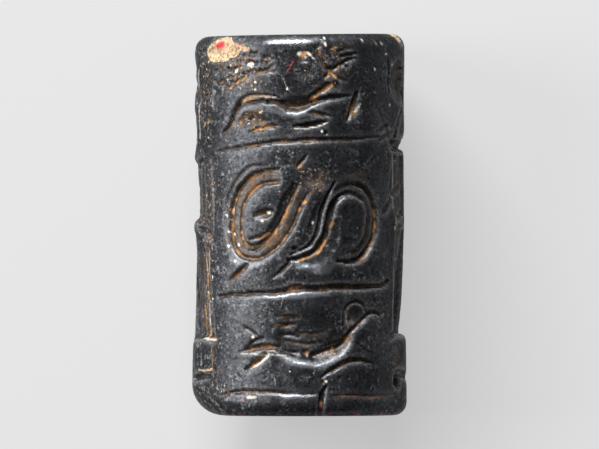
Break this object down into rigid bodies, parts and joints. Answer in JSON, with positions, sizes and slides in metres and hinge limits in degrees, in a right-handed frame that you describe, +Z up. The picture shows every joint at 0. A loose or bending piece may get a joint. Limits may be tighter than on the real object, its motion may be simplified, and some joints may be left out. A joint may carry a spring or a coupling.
{
  "type": "cylinder seal",
  "caption": "Small stone cylinder pierced lengthwise and carved all round with figures, a goat, a plait and a bird in registers.",
  "frame": {"origin": "on the ground below the middle of the seal, at the flat spot that it lies on", "axes": "+Y along the seal towards the top of its picture, +Z up out of the column with the goat, plait and bird, +X to the right of that column"},
  "size_m": [0.014, 0.025, 0.0138],
  "materials": {
    "hematite": "polished dark grey hematite, worn and chipped, with ochre residue in the cuts"
  },
  "bodies": {
    "root": {"seal": "hematite"}
  },
  "joints": []
}
